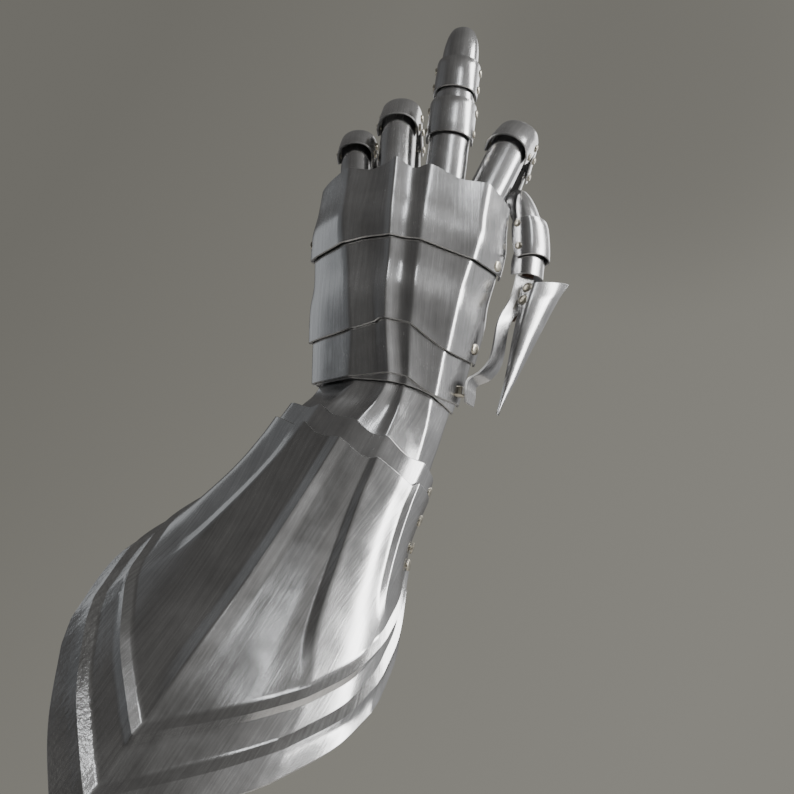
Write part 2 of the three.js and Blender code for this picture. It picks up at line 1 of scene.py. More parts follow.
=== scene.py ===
import json
import math

import bmesh
import bpy
import numpy as np
from mathutils import Matrix, Vector, noise

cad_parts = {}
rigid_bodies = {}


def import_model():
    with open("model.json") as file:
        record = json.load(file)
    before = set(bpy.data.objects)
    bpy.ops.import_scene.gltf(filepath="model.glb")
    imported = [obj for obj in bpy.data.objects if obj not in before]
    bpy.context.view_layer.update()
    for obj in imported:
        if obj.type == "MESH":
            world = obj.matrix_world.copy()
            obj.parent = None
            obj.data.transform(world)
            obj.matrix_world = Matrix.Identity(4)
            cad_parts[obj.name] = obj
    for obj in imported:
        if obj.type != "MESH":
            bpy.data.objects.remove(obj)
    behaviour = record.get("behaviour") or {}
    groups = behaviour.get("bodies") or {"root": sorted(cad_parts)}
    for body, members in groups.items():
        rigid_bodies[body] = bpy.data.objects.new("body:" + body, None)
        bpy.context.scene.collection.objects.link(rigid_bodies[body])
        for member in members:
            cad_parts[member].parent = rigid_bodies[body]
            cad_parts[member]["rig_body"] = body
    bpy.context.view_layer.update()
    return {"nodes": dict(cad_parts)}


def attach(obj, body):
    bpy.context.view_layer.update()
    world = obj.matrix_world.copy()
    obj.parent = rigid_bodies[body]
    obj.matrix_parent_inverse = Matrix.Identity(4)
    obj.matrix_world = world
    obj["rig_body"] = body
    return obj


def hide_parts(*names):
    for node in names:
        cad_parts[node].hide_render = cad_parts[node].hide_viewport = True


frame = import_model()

# Lengths are in mm in the row frame, and meshes are scaled to metres.
MM = 0.001
PLATE = 1.2
FINGER_PLATE = 1.0
LEATHER = 1.6
NEST = 2.0
ROUND_EDGE = 0.35
UV_LENGTH = 100
PLATE_SHARP_ANGLE = 28
LATHE_SHARP_ANGLE = 40
UP = np.array([0.0, 0.0, 1.0])


def vec(*values):
    return np.array(values, float)


def clamp(value, low, high):
    return max(low, min(high, value))


def unit(v):
    return v / max(np.linalg.norm(v), 1e-12)


def track(table, place):
    """Reads a table with rows [place, value, ...] smoothly between its rows."""
    t = clamp(place, table[0][0], table[-1][0])
    i = 0
    while i < len(table) - 2 and t > table[i + 1][0]:
        i += 1

    def slope(k, c):
        a, b = table[max(k - 1, 0)], table[min(k + 1, len(table) - 1)]
        return (b[c] - a[c]) / (b[0] - a[0])

    p, q = table[i], table[i + 1]
    span = q[0] - p[0]
    s = (t - p[0]) / span
    found = []
    for c in range(1, len(p)):
        rise = s * s * (3 - 2 * s)
        out = s * (1 - s) * (1 - s) * span * slope(i, c)
        into = s * s * (s - 1) * span * slope(i + 1, c)
        found.append(p[c] + (q[c] - p[c]) * rise + out + into)
    return found


# Turning a coarse grid of points into a fine one.


def refine_rows(grid, steps, crisp):
    """Puts that many steps between neighbouring rows, smooth except at the crisp rows."""
    last = len(grid) - 1

    def tangent(i, side):
        if i == 0 or (i in crisp and side > 0):
            return grid[min(i + 1, last)] - grid[i] if i < last else grid[i] - grid[i - 1]
        if i == last or i in crisp:
            return grid[i] - grid[i - 1]
        before = np.linalg.norm(grid[i] - grid[i - 1], axis=-1, keepdims=True)
        after = np.linalg.norm(grid[i + 1] - grid[i], axis=-1, keepdims=True)
        whole = np.maximum(before + after, 1e-9)
        direction = (grid[i + 1] - grid[i - 1]) / whole
        return direction * (after if side > 0 else before)

    rows = []
    for i in range(last):
        p, q = grid[i], grid[i + 1]
        m, n = tangent(i, 1), tangent(i + 1, -1)
        count = steps[i] if hasattr(steps, "__len__") else steps
        for k in range(count):
            s = k / count
            h = s * s * (3 - 2 * s)
            rows.append(p + (q - p) * h + m * (s * (1 - s) ** 2) + n * (s * s * (s - 1)))
    rows.append(grid[last])
    return np.array(rows)


def eased(columns):
    """Rounds the creases between columns a little."""
    middle = (columns[:-2] + 2 * columns[1:-1] + columns[2:]) / 4
    return np.concatenate([columns[:1], middle, columns[-1:]])


def refine(grid, across, along, crisp_columns=(), crisp_rows=(), even_hems=False):
    """Makes a fine grid of a coarse one, with creases at the crisp columns and rows."""
    grid = np.array(grid, float)
    tall = refine_rows(grid, along, set(crisp_rows)).transpose(1, 0, 2)
    wide = refine_rows(tall, across, set(crisp_columns))
    if even_hems:
        # The hems run on smoothly over the ridges.
        wide[..., 2] = refine_rows(tall, across, set())[..., 2]
    if crisp_columns:
        wide = eased(wide)
    return wide.transpose(1, 0, 2)


def normals_of(grid):
    across = np.gradient(grid, axis=1)
    along = np.gradient(grid, axis=0)
    n = np.cross(across, along)
    return n / np.maximum(np.linalg.norm(n, axis=-1, keepdims=True), 1e-12)


def dented(grid, depth, size, seed):
    """Moves points in and out a little, as hand-worked sheet is never quite even."""
    n = normals_of(grid)
    rows, columns, _ = grid.shape
    push = np.zeros((rows, columns))
    for r in range(rows):
        for c in range(columns):
            p = Vector(grid[r, c] / size) + Vector((seed, seed * 0.7, -seed))
            push[r, c] = noise.noise(p) + 0.45 * noise.noise(p * 2.3)
    return grid + n * (push * depth)[..., None]


def sheet_mesh(name, grid, thickness):
    """A closed plate: outside, inside, and a rounded edge all the way round."""
    rows, columns, _ = grid.shape
    n = normals_of(grid)
    inside = grid - n * thickness
    count = rows * columns
    points = [grid.reshape(-1, 3), inside.reshape(-1, 3)]
    loop = [(0, c) for c in range(columns)]
    loop += [(r, columns - 1) for r in range(1, rows)]
    loop += [(rows - 1, c) for c in range(columns - 2, -1, -1)]
    loop += [(r, 0) for r in range(rows - 2, 0, -1)]
    middle = (grid + inside) / 2
    edge = []
    for k, (r, c) in enumerate(loop):
        before, after = loop[k - 1], loop[(k + 1) % len(loop)]
        run = unit(grid[after] - grid[before])
        out = unit(np.cross(run, n[r, c]))
        edge.append(middle[r, c] + out * thickness * ROUND_EDGE)
    points.append(np.array(edge))
    verts = np.concatenate(points) * MM
    # Material 0 is the outside, 1 the inside and 2 the edge, whose darker metal is painted shade for the
    # gaps under the hems.
    faces, kinds = [], []
    at = np.arange(count).reshape(rows, columns)
    quads = np.stack([at[:-1, :-1], at[:-1, 1:], at[1:, 1:], at[1:, :-1]], -1).reshape(-1, 4)
    faces += quads.tolist()
    kinds += [0] * len(quads)
    faces += (quads[:, ::-1] + count).tolist()
    kinds += [1] * len(quads)
    first = 2 * count
    for k, place in enumerate(loop):
        step = (k + 1) % len(loop)
        a, b = at[place], at[loop[step]]
        m, o = first + k, first + step
        faces += [[int(a), m, o, int(b)], [m, int(a) + count, int(b) + count, o]]
        kinds += [2, 2]
    mesh = bpy.data.meshes.new(name)
    mesh.from_pydata(verts.tolist(), [], faces)
    # Lengths along the plate in both directions carry the brushing.
    across = np.zeros((rows, columns))
    across[:, 1:] = np.cumsum(np.linalg.norm(np.diff(grid, axis=1), axis=-1), axis=1)
    across -= across[:, columns // 2][:, None]
    along = np.zeros((rows, columns))
    along[1:] = np.cumsum(np.linalg.norm(np.diff(grid, axis=0), axis=-1), axis=0)
    flat = np.stack([across, along], -1).reshape(-1, 2) / UV_LENGTH
    rim = np.array([flat[at[place]] for place in loop])
    per_vertex = np.concatenate([flat, flat, rim])
    uv = mesh.uv_layers.new(name="plate")
    index = np.zeros(len(mesh.loops), int)
    mesh.loops.foreach_get("vertex_index", index)
    uv.data.foreach_set("uv", per_vertex[index].astype(np.float32).ravel())
    mesh.polygons.foreach_set("use_smooth", [True] * len(mesh.polygons))
    mesh.polygons.foreach_set("material_index", kinds)
    mesh.set_sharp_from_angle(angle=math.radians(PLATE_SHARP_ANGLE))
    mesh.update()
    return mesh


# Materials.


def new_material(name):
    material = bpy.data.materials.new(name)
    material.use_nodes = True
    nodes, links = material.node_tree.nodes, material.node_tree.links
    return material, nodes, links, nodes["Principled BSDF"]


def noise_node(nodes, links, vector, scale, detail, rough=0.5):
    node = nodes.new("ShaderNodeTexNoise")
    node.inputs["Scale"].default_value = scale
    node.inputs["Detail"].default_value = detail
    node.inputs["Roughness"].default_value = rough
    links.new(vector, node.inputs["Vector"])
    return node.outputs["Fac"]


def mapped(nodes, links, source, scale):
    node = nodes.new("ShaderNodeMapping")
    node.inputs["Scale"].default_value = scale
    links.new(source, node.inputs["Vector"])
    return node.outputs["Vector"]


def ramp(nodes, links, source, stops):
    node = nodes.new("ShaderNodeValToRGB")
    links.new(source, node.inputs["Fac"])
    band = node.color_ramp
    while len(band.elements) < len(stops):
        band.elements.new(0.5)
    for element, (place, colour) in zip(band.elements, stops):
        element.position = place
        element.color = (*colour, 1) if hasattr(colour, "__len__") else (colour,) * 3 + (1,)
    return node.outputs["Color"]


def maths(nodes, links, kind, a, b):
    node = nodes.new("ShaderNodeMath")
    node.operation = kind
    for socket, value in zip(node.inputs, (a, b)):
        if hasattr(value, "is_linked"):
            links.new(value, socket)
        else:
            socket.default_value = value
    return node.outputs[0]


def mixed(nodes, links, first, share, second, other_share):
    """The sum of two values, each times its share."""
    a = maths(nodes, links, "MULTIPLY", first, share)
    b = maths(nodes, links, "MULTIPLY", second, other_share)
    return maths(nodes, links, "ADD", a, b)


def metal(name, dark, light, rough, bump, pits=0.0):
    """Worn sheet metal: lengthways brushing, clouds of dull oxide, scratches and shallow pits."""
    material, nodes, links, shader = new_material(name)
    uv = nodes.new("ShaderNodeUVMap")
    uv.uv_map = "plate"
    flat = uv.outputs[0]
    place = nodes.new("ShaderNodeTexCoord").outputs["Object"]
    brushed = noise_node(nodes, links, mapped(nodes, links, flat, (11, 0.45, 1)), 6.0, 8, 0.66)
    lines = noise_node(nodes, links, mapped(nodes, links, flat, (45, 1.3, 1)), 5.0, 4, 0.6)
    clouds = noise_node(nodes, links, place, 38.0, 5, 0.6)
    grain = noise_node(nodes, links, place, 750.0, 4, 0.7)
    scratch = noise_node(nodes, links, mapped(nodes, links, flat, (3, 24, 1)), 4.0, 6, 0.75)
    tone = mixed(nodes, links, brushed, 0.5, clouds, 0.5)
    links.new(ramp(nodes, links, tone, [(0.3, dark), (0.68, light)]), shader.inputs["Base Color"])
    shader.inputs["Metallic"].default_value = 1.0
    wear = mixed(nodes, links, clouds, 0.55, lines, 0.45)
    links.new(ramp(nodes, links, wear, [(0.35, rough[0]), (0.63, rough[1])]), shader.inputs["Roughness"])
    shader.inputs["Anisotropic"].default_value = 0.5
    tangent = nodes.new("ShaderNodeTangent")
    tangent.direction_type = "UV_MAP"
    tangent.uv_map = "plate"
    links.new(tangent.outputs[0], shader.inputs["Tangent"])
    height = mixed(nodes, links, brushed, 0.7, grain, 0.14)
    height = mixed(nodes, links, height, 1.0, scratch, 0.2)
    if pits:
        # The border is pitted where it was hammered, most of all at its outer edge.
        split = nodes.new("ShaderNodeSeparateXYZ")
        links.new(flat, split.inputs[0])
        near = nodes.new("ShaderNodeMapRange")
        near.inputs["From Min"].default_value = 0.42
        near.inputs["From Max"].default_value = 0.08
        links.new(split.outputs["Y"], near.inputs["Value"])
        left = nodes.new("ShaderNodeMapRange")
        left.inputs["From Min"].default_value = 0.1
        left.inputs["From Max"].default_value = -0.5
        links.new(split.outputs["X"], left.inputs["Value"])
        mask = maths(nodes, links, "MULTIPLY", near.outputs[0], left.outputs[0])
        bubbles = noise_node(nodes, links, place, 520.0, 3, 0.6)
        marks = maths(nodes, links, "MULTIPLY", maths(nodes, links, "MULTIPLY", mask, bubbles), pits)
        height = maths(nodes, links, "ADD", height, marks)
    relief = nodes.new("ShaderNodeBump")
    relief.inputs["Strength"].default_value = bump
    relief.inputs["Distance"].default_value = 0.0003
    links.new(height, relief.inputs["Height"])
    links.new(relief.outputs["Normal"], shader.inputs["Normal"])
    return material


def hide_leather(name, dark, light):
    """Brown leather with a fine cell grain."""
    material, nodes, links, shader = new_material(name)
    place = nodes.new("ShaderNodeTexCoord").outputs["Object"]
    clouds = noise_node(nodes, links, place, 60.0, 5, 0.6)
    grain = nodes.new("ShaderNodeTexVoronoi")
    grain.inputs["Scale"].default_value = 900
    links.new(place, grain.inputs["Vector"])
    links.new(ramp(nodes, links, clouds, [(0.35, dark), (0.65, light)]), shader.inputs["Base Color"])
    shader.inputs["Roughness"].default_value = 0.62
    relief = nodes.new("ShaderNodeBump")
    relief.inputs["Strength"].default_value = 0.5
    relief.inputs["Distance"].default_value = 0.0002
    links.new(grain.outputs["Distance"], relief.inputs["Height"])
    links.new(relief.outputs["Normal"], shader.inputs["Normal"])
    return material


HAND_METAL = metal("hand_metal", (0.4, 0.4, 0.405), (0.68, 0.68, 0.685), (0.13, 0.28), 0.2)
CUFF_METAL = metal("cuff_metal", (0.36, 0.36, 0.36), (0.7, 0.7, 0.705), (0.12, 0.26), 0.2, 9.0)
INSIDE_METAL = metal("inside_metal", (0.26, 0.26, 0.26), (0.46, 0.46, 0.46), (0.42, 0.6), 0.35)
# The edge's metal is darker than the outsides: painted shade standing in for the dark gaps under the
# plates' hems.
EDGE_SHADE_METAL = metal("edge_shade_metal", (0.3, 0.3, 0.3), (0.6, 0.6, 0.6), (0.3, 0.45), 0.2)
RIVET_METAL = metal("rivet_metal", (0.42, 0.39, 0.32), (0.7, 0.66, 0.56), (0.22, 0.36), 0.15)
BROWN_LEATHER = hide_leather("brown_leather", (0.03, 0.017, 0.012), (0.1, 0.05, 0.03))

DENT = 0.12
DENT_SIZE = 13.0
FINGER_DENT = 0.06
FINGER_DENT_SIZE = 9
FIRST_SEED = 3.1
SEED_STEP = 1.7
made = []


def place_piece(mesh, name, node, body, materials):
    """Puts a mesh on its body, in place of a CAD node where one is named."""
    for material in materials:
        mesh.materials.append(material)
    piece = bpy.data.objects.new(name, mesh)
    bpy.context.scene.collection.objects.link(piece)
    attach(piece, body)
    if node:
        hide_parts(node)
    made.append(piece)


def plate_piece(node, body, grid, thickness=PLATE, dent=DENT, size=DENT_SIZE, skin=HAND_METAL):
    """A plate from its outer surface, with each piece's dents seeded by its place in the order."""
    grid = dented(grid, dent, size, FIRST_SEED + SEED_STEP * len(made))
    mesh = sheet_mesh(node + "_sheet", grid, thickness)
    place_piece(mesh, node + "_sheet", node, body, [skin, INSIDE_METAL, EDGE_SHADE_METAL])


def finger_piece(node, body, grid, steps):
    fine = refine(grid, SECTION_STEPS, steps)
    plate_piece(node, body, fine, FINGER_PLATE, FINGER_DENT, FINGER_DENT_SIZE)


def leather_piece(mesh, name, node, body):
    place_piece(mesh, name, node, body, [BROWN_LEATHER] * 3)


# The back of the hand: height, half width to the left and right, crown and palm depth.
HAND = [
    [-40, 34, 34, 22, 14],
    [0, 37, 37, 24, 14],
    [14, 39.5, 39.5, 26, 14],
    [36, 42, 42, 28, 14],
    [79, 48.5, 48.5, 30, 16],
    [128, 50, 50, 27, 16],
]
ROUND = 0.85
# Each flute line: its share of the half width at each of these heights, and its relief at the ends.
FLUTE_PLACES = [14, 36, 79, 118]
FLUTES = [
    ([-0.42, -0.44, -0.6, -0.67], [0.6, 1.1]),
    ([-0.11, -0.17, -0.38, -0.43], [-0.6, -1.2]),
    ([0.02, -0.1, -0.17, -0.24], [0.2, 0.2]),
    ([0.09, -0.03, -0.1, -0.17], [1.0, 1.8]),
    ([0.25, 0.12, 0.055, 0.01], [-0.5, -1.1]),
    ([0.34, 0.25, 0.195, 0.175], [0.4, 0.9]),
    ([0.53, 0.48, 0.5, 0.5], [-0.3, -1.2]),
    ([0.72, 0.69, 0.74, 0.76], [0.9, 1.6]),
]
HAND_LEFT = [-108, -86]
HAND_RIGHT = [84, 98]
RIDGES = (2, 5, 7, 9)
HEM_ANGLES_AT = 60


def angle_of_share(share):
    return math.degrees(math.copysign(math.asin(abs(share) ** (1 / ROUND)), share))


def hand_columns(z):
    fade = clamp((z - FLUTE_PLACES[0]) / (FLUTE_PLACES[-1] - FLUTE_PLACES[0]), 0, 1)
    flutes = []
    for share, relief in FLUTES:
        rows = [[place, share[i]] for i, place in enumerate(FLUTE_PLACES)]
        height = relief[0] + (relief[1] - relief[0]) * fade
        flutes.append([angle_of_share(track(rows, z)[0]), height])
    return [[a, 0] for a in HAND_LEFT] + flutes + [[a, 0] for a in HAND_RIGHT]


def arch(left, right, crown, palm, power, angle):
    """A point of a rounded section, with the angle measured from the crown."""
    s, c = math.sin(math.radians(angle)), math.cos(math.radians(angle))
    wide = left if s < 0 else right
    x = math.copysign(wide * abs(s) ** power, s)
    return x, (-crown * c**power if c > 0 else -palm * c)


def hand_point(column, z, offset):
    angle, relief = hand_columns(z)[column]
    left, right, crown, palm = track(HAND, z)
    out = offset + relief
    x, y = arch(left + out, right + out, crown + out, palm, ROUND, angle)
    return vec(x, y, z)


HEM_SPREAD = 44


def hem_height(hem, angle):
    """A hem's height: its crown, then how far it falls at the left and at the right."""
    crown, left, right = hem
    share = clamp(abs(angle) / HEM_SPREAD, 0, 1)
    return crown - (left if angle < 0 else right) * share * share * (3 - 2 * share)


def hand_lame(rows, hem=None, high=None, lows=None, highs=None):
    """A lame's coarse grid, from rows of share of its height and distance off the skin."""
    columns = hand_columns(HEM_ANGLES_AT)
    grid = []
    for share, off in rows:
        row = []
        for c, (angle, _) in enumerate(columns):
            arched = max(math.cos(math.radians(angle)), 0)
            down = hem_height(hem, angle) if hem else lows[c]
            up = high[0] + high[1] * arched if high else highs[c]
            row.append(hand_point(c, down + (up - down) * share, off))
        grid.append(row)
    return grid


KNUCKLE_EDGE = [107, 109.5, 114, 113.5, 117.5, 119.7, 115.5, 117.7, 113, 113, 109, 105]
STRIP_EDGE = [4.5, 4.5, 6, 6.5, 6.5, 6.5, 6.5, 6, 5, 3, -1, -1]
LAMES = {
    "hand_lame_1": (
        "hand_1",
        hand_lame([(0, 0), (0.7, -0.2), (1, -2.2)], hem=(10, 5, 7), high=(41, 8)),
        [16, 8],
    ),
    "hand_lame_2": (
        "hand_2",
        hand_lame(
            [(0, NEST), (0.3, NEST), (0.52, 0), (0.84, -0.4), (1, -2.2)],
            hem=(35.5, 9.5, 11),
            high=(84, 8),
        ),
        [8, 8, 12, 6],
    ),
    "knuckle_plate": (
        "knuckles",
        hand_lame(
            [(0, NEST), (0.34, NEST), (0.66, 0.5), (1, 0.2)],
            hem=(77, 7, 5.5),
            highs=KNUCKLE_EDGE,
        ),
        [10, 10, 12],
    ),
    "wrist_strip": (
        "strip",
        hand_lame([(0, -NEST), (0.6, -NEST), (1, -NEST - 1.2)], lows=STRIP_EDGE, high=(17, 6)),
        [8, 6],
    ),
}
# The dents stay shallow here, as the thumb's cap passes close by.
LAME_DENT = 0.04
for node, (body, grid, along) in LAMES.items():
    plate_piece(node, body, refine(grid, 10, along, RIDGES, even_hems=True), dent=LAME_DENT)

# The cuff's own frame.
CUFF_LEAN = 19.5
CUFF_BEND = -7.1
CUFF_TWIST = -6.4
CUFF_AT = vec(0.5, -0.4, 2)


def cuff_turn(share):
    lean = Matrix.Rotation(math.radians(CUFF_LEAN * share), 3, "Y")
    bend = Matrix.Rotation(math.radians(CUFF_BEND * share), 3, "X")
    twist = Matrix.Rotation(math.radians(CUFF_TWIST * share), 3, "Z")
    return np.array(lean @ bend @ twist)


CUFF_TURN = cuff_turn(1)


def from_cuff(point):
    return CUFF_TURN @ point + CUFF_AT


# Height, half width and crown of the cuff.
CUFF = [
    [-230, 91, 67],
    [-180, 84, 56],
    [-140, 75, 44.5],
    [-100, 60, 34],
    [-60, 47.5, 29],
    [-34, 44.5, 28.6],
    [-14, 43, 28],
]
CUFF_ROUND = 0.95
CUFF_PALM = 0.85
CUFF_DRIFT = 0.0075
CUFF_DRIFT_FROM = -20
CUFF_SPREAD = 140
CUFF_TOP = -34
CUFF_SIDE_END = 98
CUFF_TIP = 224
# Each column: its angle near the wrist and at the rim, its relief and its dip in the top edge.
CUFF_COLUMNS = [
    [-106, -106, 0, -3],
    [-88, -90, 0, 0],
    [-60, -70, 0.2, -1.5],
    [-34, -46, -1.0, -3],
    [-26, -38, 1.6, 0],
    [-14, -20, -0.6, -2.5],
    [-5.5, -4, -0.4, -1.5],
    [0, 0, 3.0, 0],
    [5, 6, 0.4, -1],
    [15, 22, -0.6, -2.8],
    [21, 34, -1.2, -2.2],
    [25, 38, 1.5, 0],
    [44, 54, 0.3, -2],
    [57, 68, -0.4, -3],
    [62, 73, 1.4, 0],
    [80, 88, 0, -1],
    [106, 106, 0, -2],
]
CUFF_CRISP = (3, 4, 6, 7, 8, 10, 11, 13, 14)
CUFF_EDGE_CURVE = 0.92
RIM_SIDE_ANGLE = 95
RIM_OVERRUN = 1.12


def rim_line(tip, side, angle):
    """The height of a line of the border that runs from its tip up to the sides."""
    share = clamp(abs(angle) / RIM_SIDE_ANGLE, 0, RIM_OVERRUN) ** CUFF_EDGE_CURVE
    return -(tip + (side - tip) * share)


def cuff_point(angle, z, offset):
    wide, crown = track(CUFF, z)
    palm = CUFF_PALM * crown + offset
    x, y = arch(wide + offset, wide + offset, crown + offset, palm, CUFF_ROUND, angle)
    return from_cuff(vec(x + CUFF_DRIFT * (z - CUFF_DRIFT_FROM), y, z))


# Each line of the stepped border: its tip, its side and its height.
CUFF_RIMS = [
    [176, 76, 0.4],
    [181, 79.5, 2.4],
    [186, 82.5, 0.9],
    [201, 87.5, 0.9],
    [207, 90.5, 3.4],
    [214, 93.5, 3.0],
    [CUFF_TIP, CUFF_SIDE_END, 3.6],
]
CUFF_BODY = [0, 0.2, 0.5, 0.8]


def cuff_angle(near, far, z):
    return near + (far - near) * clamp((-z + CUFF_TOP) / CUFF_SPREAD, 0, 1)


def cuff_column(near, far, relief, scallop):
    """One column of the cuff, from the border's edge up to the wrist."""
    low = rim_line(CUFF_RIMS[0][0], CUFF_RIMS[0][1], far)
    top = CUFF_TOP + scallop
    points = []
    for share in CUFF_BODY:
        z = top + (low - top) * share
        swell = 0.55 + 0.45 * math.sin(math.pi * clamp(share * 1.1, 0, 1))
        points.append(cuff_point(cuff_angle(near, far, z), z, relief * swell))
    for tip, side, high in CUFF_RIMS:
        points.append(cuff_point(far, rim_line(tip, side, far), high))
    return points[::-1]


def from_columns(columns):
    return np.array(columns, float).transpose(1, 0, 2)


CUFF_GRID = from_columns([cuff_column(*column) for column in CUFF_COLUMNS])
plate_piece(
    "cuff",
    "cuff",
    refine(CUFF_GRID, 10, [5, 5, 5, 8, 5, 5, 14, 16, 16, 14], CUFF_CRISP, (2, 3, 4, 5, 6)),
    dent=0.1,
    size=17.0,
    skin=CUFF_METAL,
)

UNDER_ANGLES = [94, 112, 132, 156, 180, 204, 228, 248, 266]
UNDER_HEIGHTS = [-89, -80, -70, -60]
UNDER_INSET = -NEST - 0.4
under = [[cuff_point(angle, z, UNDER_INSET) for z in UNDER_HEIGHTS] for angle in UNDER_ANGLES]
plate_piece("cuff_under_plate", "cuff", refine(from_columns(under), 10, 6), skin=CUFF_METAL)

# Angle, relief and dip in the top edge.
COLLAR_COLUMNS = [
    [-100, 0, -5],
    [-86, 0, 0],
    [-60, 0, -1.5],
    [-34, -0.8, -3],
    [-26, 1.0, 0],
    [-14, -1.0, -2.6],
    [0, -0.3, 0],
    [15, -1.2, -2.8],
    [25, 0.1, 0],
    [44, -0.3, -2.8],
    [62, 1.0, 0],
    [84, 0, -1],
    [100, 0, -3],
]
COLLAR_TOP = -22
collar = []
for near, relief, scallop in COLLAR_COLUMNS:
    arched = max(math.cos(math.radians(near)), 0)
    top = COLLAR_TOP - 4 * (1 - arched) + scallop
    rows = [[-54 - 6 * arched, -1.8 * arched - 0.6], [-45, 0], [top, 0]]
    collar.append([cuff_point(near, z, out - NEST + relief * 0.5) for z, out in rows])
plate_piece("wrist_collar", "collar", refine(from_columns(collar), 10, [8, 12], (1, 4, 6, 8, 10)))

# Angle at the cuff, angle at the hand, and relief.
WRIST_COLUMNS = [
    [-98, -100, 0],
    [-86, -86, 0],
    [-28, -21.1, 1.0],
    [-14, -4.3, -0.6],
    [-5, 0.6, 0.2],
    [0, 3.4, 1.4],
    [14, 11.3, -0.6],
    [25, 16.3, 0.9],
    [44, 28.3, -0.4],
    [62, 42.8, 1.0],
    [88, 84, 0],
    [100, 98, 0],
]
WRIST_ROUND = 0.9
# Share of the turn from cuff to hand, height, half width, crown and palm depth.
WRIST_ROWS = [
    [0, -46, 36.5, 20, 17],
    [0.05, -31, 38.4, 23.8, 18],
    [0.25, -19, 36.6, 22.6, 17],
    [0.6, -7, 34.4, 20.6, 16],
    [0.9, 4, 33.6, 20.2, 15],
    [1, 20, 33.8, 18.6, 14],
]


def wrist_point(column, row):
    """A point of the wrist lame, whose end edges rise or fall toward the sides."""
    near, far, relief = column
    share, along, wide, crown, palm = row
    angle = near + (far - near) * share
    out = relief * (0.6 + 0.4 * math.sin(math.pi * share))
    x, y = arch(wide + out, wide + out, crown + out, palm, WRIST_ROUND, angle)
    arched = max(math.cos(math.radians(angle)), 0)
    ends = {0: 5, 1: -3}.get(share, 0) * (1 - arched)
    down, up = min(along, 0), max(along, 0)
    axis = CUFF_TURN @ vec(0, 0, down + (ends if along < 0 else 0))
    turned = cuff_turn(1 - share) @ vec(x, y, 0)
    return turned + axis + CUFF_AT * (1 - share) + UP * (up + (ends if along > 0 else 0))


wrist = [[wrist_point(column, row) for row in WRIST_ROWS] for column in WRIST_COLUMNS]
plate_piece("wrist_lame", "wrist", refine(from_columns(wrist), 10, 8, (2, 5, 7, 9)))

# The fingers. None in a section stands for the hem of that row.
FINGER_SECTION = [
    [-1, None],
    [-1, -0.2],
    [-0.78, -0.7],
    [-0.3, -0.97],
    [0.3, -0.97],
    [0.78, -0.7],
    [1, -0.2],
    [1, None],
]
SECTION_STEPS = [3, 6, 6, 6, 6, 6, 3]
CAP_GAP = 0.85
CAP_SWELL = 0.08
CAP_BACK = 5.6
CAP_FRONT = 2.9
EAR = 3.3
FINGER_REACH = 2.3
FINGER_TAPER = 0.94
FINGER_SHANK = 0.9
FINGER_HEAD = 2.0
PIN_TAIL = 0.7


def turned_about(v, axis, degrees):
    return np.array(Matrix.Rotation(math.radians(degrees), 3, Vector(axis)) @ Vector(v))


class Finger:
    """A finger's own frame: along the finger, toward the palm and sideways."""

    def __init__(self, at, lean, roll=0):
        a = math.radians(lean)
        self.base = vec(*at)
        self.along = vec(math.sin(a), 0, math.cos(a))
        self.side = vec(math.cos(a), 0, -math.sin(a))
        self.palm = vec(0, 1, 0)
        if roll:
            self.side = turned_about(self.side, self.along, roll)
            self.palm = turned_about(self.palm, self.along, roll)

    def place(self, x, y, s):
        return self.base + self.side * x + self.palm * y + self.along * s


def finger_grid(frame_of, start, bend, wide, crown, rows):
    """A plate along one bone, from rows of distance, width share, crown share and hem."""
    c, s = math.cos(math.radians(bend)), math.sin(math.radians(bend))
    grid = []
    for far, wide_scale, crown_scale, hem in rows:
        row = []
        for sx, sy in FINGER_SECTION:
            y = hem if sy is None else sy * crown * crown_scale
            x = sx * wide * wide_scale
            row.append(frame_of.place(x, start[1] + far * s + y * c, start[0] + far * c - y * s))
        grid.append(row)
    return grid


AXIS_RADIUS = 0.05
PIN_SIDES = 20


def lathe_mesh(name, profile, at, direction, sides=PIN_SIDES):
    """Turns a profile of [radius, height] about a line from a point."""
    up = unit(direction)
    first = unit(np.cross(up, vec(0.3, 0.2, 0.9)))
    second = np.cross(up, first)
    verts, faces = [], []
    for r, h in profile:
        for k in range(sides):
            a = 2 * math.pi * k / sides
            verts.append((at + up * h + (first * math.cos(a) + second * math.sin(a)) * r) * MM)
    for i in range(len(profile) - 1):
        for k in range(sides):
            n = (k + 1) % sides
            faces.append([i * sides + k, i * sides + n, (i + 1) * sides + n, (i + 1) * sides + k])
    faces.append(list(range(sides))[::-1])
    faces.append([(len(profile) - 1) * sides + k for k in range(sides)])
    mesh = bpy.data.meshes.new(name)
    mesh.from_pydata([tuple(v) for v in verts], [], faces)
    uv = mesh.uv_layers.new(name="plate")
    flat = np.zeros((len(mesh.loops), 2), np.float32)
    index = np.zeros(len(mesh.loops), int)
    mesh.loops.foreach_get("vertex_index", index)
    flat[:, 0] = (index % sides) / sides * 0.1
    flat[:, 1] = (index // sides) * 0.01
    uv.data.foreach_set("uv", flat.ravel())
    mesh.polygons.foreach_set("use_smooth", [True] * len(mesh.polygons))
    mesh.set_sharp_from_angle(angle=math.radians(LATHE_SHARP_ANGLE))
    return mesh


def joined(name, meshes):
    """One mesh of several, each kept whole."""
    whole = bmesh.new()
    for mesh in meshes:
        whole.from_mesh(mesh)
    mesh = bpy.data.meshes.new(name)
    whole.to_mesh(mesh)
    whole.free()
    return mesh


